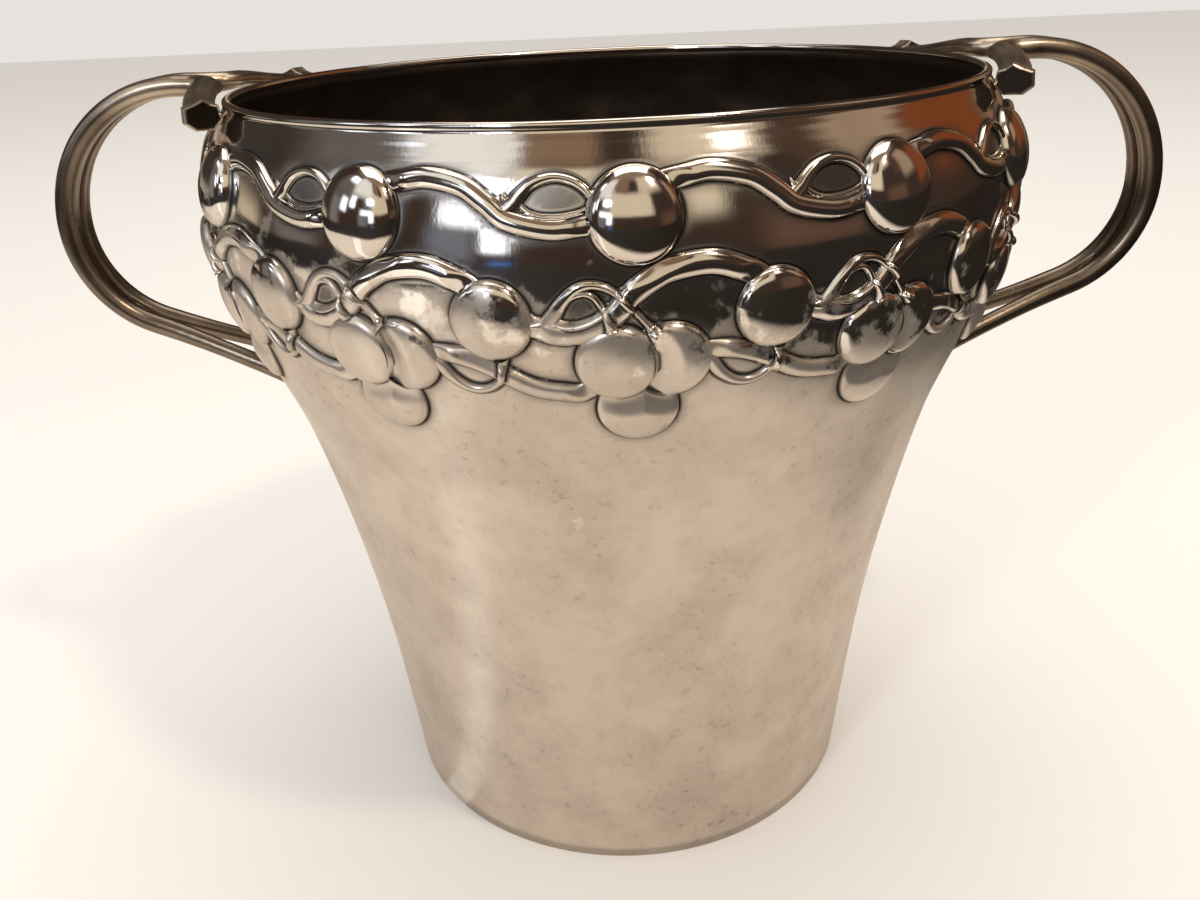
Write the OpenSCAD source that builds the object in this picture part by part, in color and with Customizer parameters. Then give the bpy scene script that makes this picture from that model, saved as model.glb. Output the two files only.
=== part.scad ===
// Two-handled silver-plated wine cooler: a pressed bucket with a band of vines and round bosses under its lip.
// Millimetres, +Z up, origin at the middle of the base, -Y is the front, handles on +X and -X.
// Places in the relief are [share of one repeat round the bucket, drop below the lip].

/* [Bucket] */
// Height of the bucket from the base to the top of the lip
body_h = 200; // [180:1:240]
// Outside diameter at the base
base_d = 136.4; // [120:0.2:150]
// Outside diameter where the wall starts to swell
waist_d = 170.6; // [160:0.2:180]
// Outside diameter at the belly, without the relief
belly_d = 202; // [196:0.5:230]
// Outside diameter of the wall under the lip bead
lip_d = 183; // [176:0.5:190]
// Drop from the lip to the start of the swelling
waist_drop = 85; // [80:1:95]
// Drop from the lip to the widest place
belly_drop = 29; // [26:0.5:32]
// Thickness of the sheet
wall_t = 1.2; // [0.8:0.1:1.6]

/* [Lip and base] */
// Diameter of the bead along the lip
bead_d = 2.4; // [2.2:0.1:3.4]
// Depth that the sheet enters the bead
bead_seat = 0.8; // [0.5:0.1:1]
// Thickness of the base disc
base_t = 1.2; // [0.8:0.1:2]
// Height of the turned-down edge of the base disc
base_flange_h = 5; // [3:0.5:10]

/* [Relief] */
// Number of repeats round the bucket
repeats = 12; // [12:1:12]
// Diameter of the upper bosses
upper_boss_d = 17.4; // [14:0.1:21]
// Height of the upper bosses over the wall
upper_boss_h = 4.2; // [3:0.1:5.2]
// Diameter of the middle bosses
middle_boss_d = 15.8; // [13:0.1:19]
// Height of the middle bosses over the wall
middle_boss_h = 3.2; // [2.4:0.1:4]
// Diameter of the three bosses in each trio
trio_boss_d = 15.8; // [13:0.1:19]
// Height of the trio bosses over the wall
trio_boss_h = 3.2; // [2.6:0.1:4]
// Width of the upper vine
upper_vine_w = 3.4; // [2.6:0.1:4.2]
// Width of the middle vine
middle_vine_w = 4.2; // [3.2:0.1:5.1]
// Width of the lower vine
lower_vine_w = 3.6; // [2.8:0.1:4.4]
// Height of all three vines over the wall
vine_h = 1.7; // [1.2:0.1:2.2]
// Width of the tendrils
tendril_w = 1.6; // [1.2:0.1:2]
// Height of the tendrils over what they lie on
tendril_h = 1.1; // [0.8:0.1:1.5]

/* [Handles] */
// Distance from the axis to the middle of the strap at its furthest
handle_reach = 144; // [138:1:175]
// Straight run of the strap between its upper bend and the rim arms
top_run = 2.5; // [1:0.5:6]
// Radius of the lower bend
lower_bend_r = 28; // [24:1:32]
// Drop from the lip to the furthest place of the strap
reach_drop = 34.5; // [30:0.5:42]
// Turn of the lower bend before it runs straight to the wall
lower_bend_turn = 68; // [60:1:74]
// Diameter of the front and the back rail of the strap
rail_d = 5.4; // [4.4:0.1:6.5]
// Distance between the middles of the rails in the strap
rail_gap = 7.8; // [6.6:0.1:9.6]
// Diameter of the rib between the rails
rib_d = 3.6; // [3:0.1:4.4]
// Distance between the middles of the lower forks at the wall
fork_gap = 18; // [15:0.5:22]
// Gap between the rim arms and the lip bead
arm_gap = 4.2; // [3.5:0.1:8]
// Turn of each rim arm from the middle of the handle
arm_turn = 26; // [20:1:32]
// Radius of the bend from the strap into a rim arm
arm_bend_r = 6; // [5:0.5:8]
// Width of the lugs that carry the rim arms
lug_w = 6; // [5:0.5:8]
// Height of the lugs that carry the rim arms
lug_h = 7; // [5:0.5:8]

/* [Fits] */
// Clearance between pieces that are soldered together
solder_gap = 0.1; // [0.05:0.01:0.2]
// Clearance between the ends of a vine and the bosses
end_gap = 0.5; // [0.3:0.1:0.8]

/* [Hidden] */
turn = 360 / repeats;
silver = "#c9bfae";
dark_silver = "#8d8479";
patina = "#4a3a2e";
// How far a lug reaches past the middle of its rim arm, and the angle of the slice behind a handle.
lug_lip = 2;
handle_slice = 60;

// Wall: a smooth curve through seven radii, taken as short straight steps.
wall_top = body_h - bead_d + bead_seat;
wall_keys = [
    [0, base_d / 2],
    [(body_h - waist_drop) * 0.52, base_d / 2 + (waist_d - base_d) * 0.185],
    [body_h - waist_drop, waist_d / 2],
    [body_h - (waist_drop + belly_drop) / 2 + 6, waist_d / 2 + (belly_d - waist_d) * 0.37],
    [body_h - belly_drop, belly_d / 2],
    [body_h - belly_drop * 0.36, lip_d / 2 + (belly_d - lip_d) * 0.33],
    [body_h, lip_d / 2]];

// Catmull-Rom curve through a list of points, with its end points doubled.
function key(k, i) = k[max(0, min(len(k) - 1, i))];
function blend(a, b, c, d, t) =
    b + (c - a) * t / 2 + (2 * a - 5 * b + 4 * c - d) * t * t / 2
    + (3 * b - a - 3 * c + d) * t * t * t / 2;
function curve_at(k, s) =
    let (i = min(len(k) - 2, floor(s)))
    blend(key(k, i - 1), key(k, i), key(k, i + 1), key(k, i + 2), s - i);
function curve(k, n) = [for (j = [0 : n]) curve_at(k, (len(k) - 1) * j / n)];

wall_line = curve(wall_keys, 36);
function wall_r(z) = lookup(z, wall_line);
function wall_tilt(z) = atan2(wall_r(z + 1) - wall_r(z - 1), 2);
bead_mid = wall_r(wall_top) - wall_t / 2;

// A place on the wall, standing off it by out, with its turn round the axis and its height.
function on_wall(a, z, out) = [(wall_r(z) + out) * sin(a), -(wall_r(z) + out) * cos(a), z];

// Distance along the wall between two relief places.
function wall_gap(p, q) =
    let (z = body_h - (p[1] + q[1]) / 2, along = (p[0] - q[0]) * turn * PI / 180 * wall_r(z))
    norm([along, (p[1] - q[1]) / cos(wall_tilt(z))]);

// The outline of the sheet, moved outwards by out on its outside and inwards by t on its inside.
function wall_section(z0, z1, out, t) = concat(
    [[wall_r(z0) + out, z0]],
    [for (p = wall_line) if (p[0] > z0 && p[0] < z1) [p[1] + out, p[0]]],
    [[wall_r(z1) + out, z1], [wall_r(z1) - t, z1]],
    [for (i = [len(wall_line) - 1 : -1 : 0])
        let (p = wall_line[i]) if (p[0] > z0 && p[0] < z1) [p[1] - t, p[0]]],
    [[wall_r(z0) - t, z0]]);

// Relief places.
upper_boss_at = [0.055, 15.6];
middle_boss_at = [0.545, 33.7];
front_boss_at = [-0.021, 42.1];
side_boss_at = [0.17, 42.1];
lower_boss_at = [0.053, 52.4];
one_turn = [1, 0];
upper_vine_path = [[0.055, 12.6], [0.14, 10.4], [0.229, 9.5], [0.329, 8.9], [0.461, 10.2],
    [0.552, 13.1], [0.623, 15.7], [0.762, 17.3], [0.863, 16.9], [1.055, 15.6]];
upper_tendril_path = [[0.64, 13], [0.69, 10.6], [0.78, 9.2], [0.86, 9.9], [0.9, 11.5], [0.92, 13.6]];
middle_vine_path = [[-0.455, 33.7], [-0.3, 34.8], [-0.221, 36.1], [-0.133, 35.8], [-0.065, 34.2],
    [-0.012, 32], [0.043, 28.6], [0.112, 26.1], [0.168, 24.8], [0.273, 24], [0.347, 24.4],
    [0.423, 25.9], [0.48, 27.5], [0.545, 33.7]];
middle_outer_path = [[-0.262, 32.7], [-0.212, 30.4], [-0.178, 28.1], [-0.134, 27], [-0.09, 27],
    [-0.039, 27.9], [0, 29.5], [0.044, 32.1], [0.084, 34.6], [0.17, 42.1]];
middle_inner_path = [[-0.105, 29.4], [-0.075, 30], [-0.055, 31.7], [-0.04, 34.4], [-0.021, 42.1]];
lower_vine_path = [[0.17, 41], [0.32, 40.8], [0.395, 41], [0.467, 42], [0.536, 43.6], [0.585, 45.1],
    [0.64, 46.7], [0.7, 47.8], [0.78, 48.4], [0.862, 48.3], [0.979, 44]];
lower_tendril_path = [[0.17, 42.1], [0.333, 43.7], [0.355, 45.4], [0.392, 47.3], [0.454, 48.2],
    [0.513, 47.4], [0.553, 45.6], [0.566, 43.6], [0.572, 41.7], [0.545, 33.7]];

// Every boss of one repeat and its neighbours, as [place, diameter].
function bosses_near(shift) = [
    [upper_boss_at + shift * one_turn, upper_boss_d],
    [middle_boss_at + shift * one_turn, middle_boss_d],
    [front_boss_at + shift * one_turn, trio_boss_d],
    [side_boss_at + shift * one_turn, trio_boss_d],
    [lower_boss_at + shift * one_turn, trio_boss_d]];
all_bosses = concat(bosses_near(-1), bosses_near(0), bosses_near(1));
function clear_of_bosses(p, gap) =
    min([for (b = all_bosses) wall_gap(p, b[0]) - b[1] / 2]) > gap;

// The stretch of a path between the bosses that it runs behind, as n even steps.
function trimmed(path, gap, n) =
    let (
        s = [for (j = [0 : 0.04 : len(path) - 1]) if (clear_of_bosses(curve_at(path, j), gap)) j],
        s0 = min(s),
        s1 = max(s))
    [for (i = [0 : n]) curve_at(path, s0 + (s1 - s0) * i / n)];

// Height that a tendril is lifted by where it crosses a vine of width w.
function lift(p, vine, w) =
    min([for (q = vine) wall_gap(p, q)]) < (w + tendril_w) / 2 + 1.2 ? vine_h + solder_gap : 0;

// A half-round strip along a list of places: w wide, h high, and each place lifted by lifts[i].
module strip(places, lifts, w, h) {
    n = len(places) - 1;
    flat = [for (p = places) [p[0] * turn, body_h - p[1]]];
    function step(i) =
        let (a = flat[max(0, i - 1)], b = flat[min(n, i + 1)], r = wall_r(flat[i][1]))
        let (d = [(b[0] - a[0]) * PI / 180 * r, b[1] - a[1]]) d / norm(d);
    section = [[-0.5, 0], [-0.4, 0.62], [0, 1], [0.4, 0.62], [0.5, 0]];
    m = len(section);
    points = [for (i = [0 : n], s = section)
        let (d = step(i), z = flat[i][1] + s[0] * w * d[0])
        let (a = flat[i][0] - s[0] * w * d[1] / wall_r(z) * 180 / PI)
        on_wall(a, z, solder_gap + lifts[i] + s[1] * h)];
    faces = concat(
        [[for (k = [0 : m - 1]) k]],
        [for (i = [0 : n - 1], k = [0 : m - 1]) let (k2 = (k + 1) % m, q = i * m)
            each [[q + k, q + m + k, q + m + k2], [q + k, q + m + k2, q + k2]]],
        [[for (k = [m - 1 : -1 : 0]) n * m + k]]);
    polyhedron(points, faces);
}

module round_the_bucket() {
    for (i = [0 : repeats - 1]) rotate([0, 0, i * turn]) children();
}

// A domed boss: the cap of a ball that stands out of the wall by h and is d wide.
function ball_r(d, h) = (d * d / 4 + h * h) / (2 * h);
module boss_ball(at, d, h, gap) {
    z = body_h - at[1];
    sink = ball_r(d, h) - h;
    tilt = wall_tilt(z);
    rotate([0, 0, at[0] * turn])
        translate([0, -wall_r(z) + sink * cos(tilt), z + sink * sin(tilt)])
            sphere(r = ball_r(d, h) + gap, $fn = 48);
}

// The bucket's outside as a solid slice behind one boss, larger than the ball that it cuts.
module behind_wall(at, d, h) {
    reach = 1.3 * ball_r(d, h);
    z = body_h - at[1];
    half_angle = reach / wall_r(z) * 180 / PI;
    rotate([0, 0, at[0] * turn - 90 - half_angle])
        rotate_extrude(angle = 2 * half_angle, $fn = 180)
            polygon(wall_section(z - reach, min(z + reach, body_h), solder_gap, 2 * reach));
}

module boss(at, d, h) {
    difference() {
        boss_ball(at, d, h, 0);
        behind_wall(at, d, h);
    }
}

module body_wall() {
    color(silver)
        rotate_extrude($fn = 180) polygon(wall_section(0, wall_top, 0, wall_t));
}

module lip_bead() {
    color(silver)
        rotate_extrude($fn = 180) difference() {
            translate([bead_mid, body_h - bead_d / 2]) circle(d = bead_d, $fn = 32);
            polygon(wall_section(body_h - bead_d - 1, wall_top + solder_gap, solder_gap, wall_t + solder_gap));
        }
}

module base_disc() {
    inner = wall_r(0) - wall_t - solder_gap;
    color(dark_silver)
        rotate_extrude($fn = 180) polygon([
            [0, base_flange_h - base_t], [inner - base_t, base_flange_h - base_t], [inner - base_t, 0],
            [inner, 0], [inner, base_flange_h], [0, base_flange_h]]);
}

module upper_bosses() {
    color(silver) round_the_bucket() boss(upper_boss_at, upper_boss_d, upper_boss_h);
}

module middle_bosses() {
    color(silver) round_the_bucket() boss(middle_boss_at, middle_boss_d, middle_boss_h);
}

module trio_front_bosses() {
    color(silver) round_the_bucket() boss(front_boss_at, trio_boss_d, trio_boss_h);
}

module trio_side_bosses() {
    color(silver) round_the_bucket() difference() {
        boss(side_boss_at, trio_boss_d, trio_boss_h);
        boss_ball(front_boss_at, trio_boss_d, trio_boss_h, solder_gap);
    }
}

module trio_lower_bosses() {
    color(silver) round_the_bucket() difference() {
        boss(lower_boss_at, trio_boss_d, trio_boss_h);
        boss_ball(front_boss_at, trio_boss_d, trio_boss_h, solder_gap);
        boss_ball(side_boss_at, trio_boss_d, trio_boss_h, solder_gap);
    }
}

// Cuts what the bosses in the list stand over.
module under_bosses(bosses) {
    difference() {
        children();
        for (b = bosses) boss_ball(b[0], b[1], b[2], solder_gap);
    }
}

module vine(path, w, steps, bosses) {
    places = trimmed(path, end_gap, steps);
    color(silver) round_the_bucket() under_bosses(bosses) strip(places, [for (p = places) 0], w, vine_h);
}

module tendril(path, steps, bosses) {
    places = trimmed(path, end_gap, steps);
    color(silver) round_the_bucket() under_bosses(bosses)
        strip(places, [for (p = places) 0], tendril_w, tendril_h);
}

module crossing_tendril(path, vine_path, vine_w, steps, bosses) {
    places = trimmed(path, end_gap, steps);
    vine_line = curve(vine_path, 80);
    color(silver) round_the_bucket() under_bosses(bosses)
        strip(places, [for (p = places) lift(p, vine_line, vine_w)], tendril_w, tendril_h);
}

upper_boss = [upper_boss_at, upper_boss_d, upper_boss_h];
next_upper_boss = [upper_boss_at + one_turn, upper_boss_d, upper_boss_h];
middle_boss = [middle_boss_at, middle_boss_d, middle_boss_h];
last_middle_boss = [middle_boss_at - one_turn, middle_boss_d, middle_boss_h];
front_boss = [front_boss_at, trio_boss_d, trio_boss_h];
next_front_boss = [front_boss_at + one_turn, trio_boss_d, trio_boss_h];
side_boss = [side_boss_at, trio_boss_d, trio_boss_h];

module upper_vine() {
    vine(upper_vine_path, upper_vine_w, 16, [upper_boss, next_upper_boss]);
}

module middle_vine() {
    vine(middle_vine_path, middle_vine_w, 18, [last_middle_boss, middle_boss, front_boss, upper_boss]);
}

module lower_vine() {
    vine(lower_vine_path, lower_vine_w, 14, [side_boss, next_front_boss, middle_boss]);
}

module upper_tendrils() {
    tendril(upper_tendril_path, 14, [next_upper_boss]);
}

module middle_tendrils() {
    crossing_tendril(middle_outer_path, middle_vine_path, middle_vine_w, 17, [front_boss, side_boss]);
    crossing_tendril(middle_inner_path, middle_vine_path, middle_vine_w, 7, [front_boss]);
}

module lower_tendrils() {
    crossing_tendril(lower_tendril_path, lower_vine_path, lower_vine_w, 20, [side_boss, middle_boss]);
}

// Handle, drawn for the +X side. Its strap is two rails with a rib between them.
bead_r = bead_mid + bead_d / 2;
arm_r = bead_r + arm_gap + rail_d / 2;
fillet_y = rail_gap / 2 + arm_bend_r;
fillet_turn = asin(fillet_y / (arm_r + arm_bend_r));
fillet_x = (arm_r + arm_bend_r) * cos(fillet_turn);
bend_mid = fillet_x + top_run;
upper_bend_r = handle_reach - bend_mid;
low_bend_mid = handle_reach - lower_bend_r;
reach_z = body_h - reach_drop;
arm_z = reach_z + upper_bend_r;
leg_x = low_bend_mid + lower_bend_r * cos(lower_bend_turn);
leg_z = reach_z - lower_bend_r * sin(lower_bend_turn);

// One rail, from the end of its rim arm over the strap to the end of its fork at the wall.
fork_run = (leg_x - waist_d / 2) / sin(lower_bend_turn);
function ease(t) = t * t * (3 - 2 * t);
function rim_arm_line(n) = [for (i = [0 : n])
    let (a = arm_turn + (fillet_turn - arm_turn) * i / n)
    [arm_r * cos(a), -arm_r * sin(a), arm_z]];
function fillet_line(n) = [for (i = [1 : n])
    let (a = 180 - fillet_turn + (fillet_turn - 90) * i / n)
    [fillet_x + arm_bend_r * cos(a), arm_bend_r * sin(a) - fillet_y, arm_z]];
function strap_line(y, n_up, n_low) = concat(
    [for (i = [0 : n_up]) let (a = 90 - 90 * i / n_up)
        [bend_mid + upper_bend_r * cos(a), y, reach_z + upper_bend_r * sin(a)]],
    [for (i = [1 : n_low]) let (a = -lower_bend_turn * i / n_low)
        [low_bend_mid + lower_bend_r * cos(a), y, reach_z + lower_bend_r * sin(a)]]);
function fork_line(n) = [for (i = [1 : n])
    let (t = i / n, run = t * fork_run, y = rail_gap / 2 + (fork_gap - rail_gap) / 2 * ease(t))
    [leg_x - run * sin(lower_bend_turn), -y, leg_z - run * cos(lower_bend_turn)]];
front_rail = concat(rim_arm_line(5), fillet_line(5), strap_line(-rail_gap / 2, 11, 8), fork_line(6));

// A round rod along a line of points, as a chain of short drums that share their ends.
module rod(line, d, sides) {
    n = len(line) - 1;
    function along(i) = let (v = line[min(n, i + 1)] - line[max(0, i - 1)]) v / norm(v);
    function ring(i) =
        let (t = along(i), u0 = abs(t[1]) > 0.8 ? [1, 0, 0] : [0, 1, 0])
        let (u = cross(t, u0) / norm(cross(t, u0)), v = cross(t, u))
        [for (k = [0 : sides - 1]) line[i] + d / 2 * (cos(360 * k / sides) * u + sin(360 * k / sides) * v)];
    for (i = [0 : n - 1])
        hull() polyhedron(concat(ring(i), ring(i + 1)), [[for (k = [0 : 2 * sides - 1]) k]]);
}

// The bucket's outside behind one handle, as a solid slice to cut the handle by.
module behind_handle() {
    rotate([0, 0, -handle_slice / 2]) rotate_extrude(angle = handle_slice, $fn = 180)
        polygon(wall_section(body_h - waist_drop - 40, body_h - belly_drop, solder_gap, 30));
}

module handle() {
    color(patina) difference() {
        union() {
            rod(front_rail, rail_d, 16);
            mirror([0, 1, 0]) rod(front_rail, rail_d, 16);
            rod(strap_line(0, 11, 8), rib_d, 12);
        }
        behind_handle();
    }
}

// A lug: a small block that seats the end of a rim arm and stands on the wall under the lip.
module lug() {
    relief_top = body_h - upper_boss_at[1] + upper_boss_d / 2 + 1;
    z0 = max(arm_z - lug_h, relief_top);
    lug_turn = arm_turn - lug_w / 2 / arm_r * 180 / PI;
    color(patina) difference() {
        rotate([0, 0, -lug_turn]) translate([bead_r - 4, -lug_w / 2, z0])
            cube([arm_r - bead_r + 4 + lug_lip, lug_w, arm_z - z0]);
        rotate([0, 0, -arm_turn - 5]) {
            rotate_extrude(angle = 20, $fn = 180)
                polygon(wall_section(z0 - 2, wall_top, solder_gap, 20));
            rotate_extrude(angle = 20, $fn = 180)
                translate([0, wall_top - 1]) square([bead_r + solder_gap, 10]);
            translate([0, 0, arm_z]) rotate_extrude(angle = 20, $fn = 180)
                translate([arm_r, 0]) circle(d = rail_d + 2 * solder_gap, $fn = 32);
        }
    }
}

module right_front_lug() {
    lug();
}

module right_back_lug() {
    mirror([0, 1, 0]) lug();
}

module left_front_lug() {
    mirror([1, 0, 0]) lug();
}

module left_back_lug() {
    mirror([1, 0, 0]) mirror([0, 1, 0]) lug();
}

module left_handle() {
    mirror([1, 0, 0]) handle();
}

module right_handle() {
    handle();
}

body_wall();
lip_bead();
base_disc();
left_handle();
right_handle();
left_front_lug();
left_back_lug();
right_front_lug();
right_back_lug();
upper_bosses();
upper_vine();
upper_tendrils();
middle_bosses();
middle_vine();
middle_tendrils();
trio_front_bosses();
trio_side_bosses();
trio_lower_bosses();
lower_vine();
lower_tendrils();
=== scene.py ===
import math

import bpy
import numpy as np
from mathutils import Matrix, Vector, noise


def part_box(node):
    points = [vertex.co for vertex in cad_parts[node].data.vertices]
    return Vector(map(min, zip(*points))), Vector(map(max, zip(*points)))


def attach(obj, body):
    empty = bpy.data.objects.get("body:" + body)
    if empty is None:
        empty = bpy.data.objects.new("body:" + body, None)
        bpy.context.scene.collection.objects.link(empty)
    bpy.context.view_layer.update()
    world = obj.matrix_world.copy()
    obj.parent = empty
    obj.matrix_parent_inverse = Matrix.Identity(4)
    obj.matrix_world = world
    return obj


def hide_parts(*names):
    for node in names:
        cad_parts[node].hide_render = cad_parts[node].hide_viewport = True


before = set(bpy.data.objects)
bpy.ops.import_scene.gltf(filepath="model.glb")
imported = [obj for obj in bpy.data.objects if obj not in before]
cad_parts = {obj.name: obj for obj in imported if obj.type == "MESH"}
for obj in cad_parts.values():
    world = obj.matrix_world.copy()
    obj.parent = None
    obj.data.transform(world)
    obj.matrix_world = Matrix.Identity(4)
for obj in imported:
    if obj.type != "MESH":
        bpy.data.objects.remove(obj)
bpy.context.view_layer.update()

mm = 0.001

# the bucket's own shape, read off the frame
def readWall():
    # outer radius of the sheet at each height, both in millimetres
    co = np.array([v.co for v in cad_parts["body_wall"].data.vertices]) / mm
    radius = np.hypot(co[:, 0], co[:, 1])
    heights = np.unique(np.round(co[:, 2], 2))
    outer = [radius[np.abs(co[:, 2] - z) < 0.02].max() for z in heights]
    return heights, np.array(outer)


wallHeights, wallRadii = readWall()
# millimetres; plainTop is the height where the relief starts, and columns is points across a repeat.
# the plate is painted darker beside the relief as painted shade: how dark, and how far that reaches beside a
# boss and a vine.
# hollows are the grounds inside the loops, painted darker: share, drop, half width and half height
sheet = {"thick": 1.2, "plainTop": 134, "top": float(wallHeights[-1]), "columns": 40,
         "paintedDark": 0.42, "bossShadeReach": 2.6, "vineShadeReach": 2.2, "hollowDark": 0.68,
         "hollows": [(0.79, 12.3, 4.6, 2.2), (-0.15, 31.6, 2.6, 2.0)]}
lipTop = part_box("lip_bead")[1].z / mm


def wallR(z):
    # smooth curve through the wall's rings
    z = np.asarray(z, float)
    i = np.clip(np.searchsorted(wallHeights, z) - 1, 0, len(wallHeights) - 2)
    h0, h1 = wallHeights[i], wallHeights[i + 1]
    t = np.clip((z - h0) / (h1 - h0), 0, 1)
    a = wallRadii[np.clip(i - 1, 0, None)]
    b, c = wallRadii[i], wallRadii[i + 1]
    d = wallRadii[np.clip(i + 2, None, len(wallRadii) - 1)]
    return b + (c - a) * t / 2 + (2 * a - 5 * b + 4 * c - d) * t**2 / 2 + (3 * b - a - 3 * c + d) * t**3 / 2


def wallTilt(z):
    return np.arctan2(wallR(np.asarray(z) + 1) - wallR(np.asarray(z) - 1), 2)


def onWall(angle, z, out):
    # angle in degrees from the front, out along the wall's own normal; millimetres
    angle, tilt = np.radians(angle), wallTilt(z)
    r = wallR(z) + out * np.cos(tilt)
    return np.stack([r * np.sin(angle), -r * np.cos(angle), z - out * np.sin(tilt)], -1)


def ease(t):
    t = np.clip(t, 0, 1)
    return t * t * (3 - 2 * t)


def makeMesh(name, points, quads, attributes=None):
    mesh = bpy.data.meshes.new(name)
    mesh.vertices.add(len(points))
    mesh.vertices.foreach_set("co", (np.asarray(points, np.float32) * mm).ravel())
    quads = np.asarray(quads, np.int32)
    mesh.loops.add(quads.size)
    mesh.loops.foreach_set("vertex_index", quads.ravel())
    mesh.polygons.add(len(quads))
    mesh.polygons.foreach_set("loop_start", np.arange(len(quads), dtype=np.int32) * quads.shape[1])
    mesh.polygons.foreach_set("use_smooth", np.ones(len(quads), bool))
    mesh.update()
    mesh.validate()
    for key, values in (attributes or {}).items():
        mesh.attributes.new(key, "FLOAT", "POINT").data.foreach_set("value", np.asarray(values, np.float32))
    piece = bpy.data.objects.new(name, mesh)
    bpy.context.scene.collection.objects.link(piece)
    return piece


def gridFaces(rows, columns, closed, start=0):
    # quads of a rows x columns grid of points, wrapped across its columns if closed
    last = columns if closed else columns - 1
    i, k = np.meshgrid(np.arange(rows - 1), np.arange(last), indexing="ij")
    k2 = (k + 1) % columns
    a, b, c, d = i * columns + k, i * columns + k2, (i + 1) * columns + k2, (i + 1) * columns + k
    return start + np.stack([a, b, c, d], -1).reshape(-1, 4)


def place(piece, material, slotName, *replaced):
    piece.data.materials.clear()
    piece.data.materials.append(material)
    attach(piece, "root")
    if replaced:
        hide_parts(*replaced)
    return piece


def colour(text):
    # sRGB hex to linear RGBA
    values = [int(text[i:i + 2], 16) / 255 for i in (1, 3, 5)]
    return [v / 12.92 if v <= 0.04045 else ((v + 0.055) / 1.055) ** 2.4 for v in values] + [1]


def addNode(tree, kind, settings=None, links=None):
    node = tree.nodes.new("ShaderNode" + kind)
    for key, value in (settings or {}).items():
        if isinstance(key, str) and hasattr(node, key):
            setattr(node, key, value)
        else:
            node.inputs[key].default_value = value
    for key, socket in (links or {}).items():
        tree.links.new(socket, node.inputs[key])
    return node


def newMaterial(name):
    material = bpy.data.materials.new(name)
    material.use_nodes = True
    return material, material.node_tree, material.node_tree.nodes["Principled BSDF"]


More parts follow.
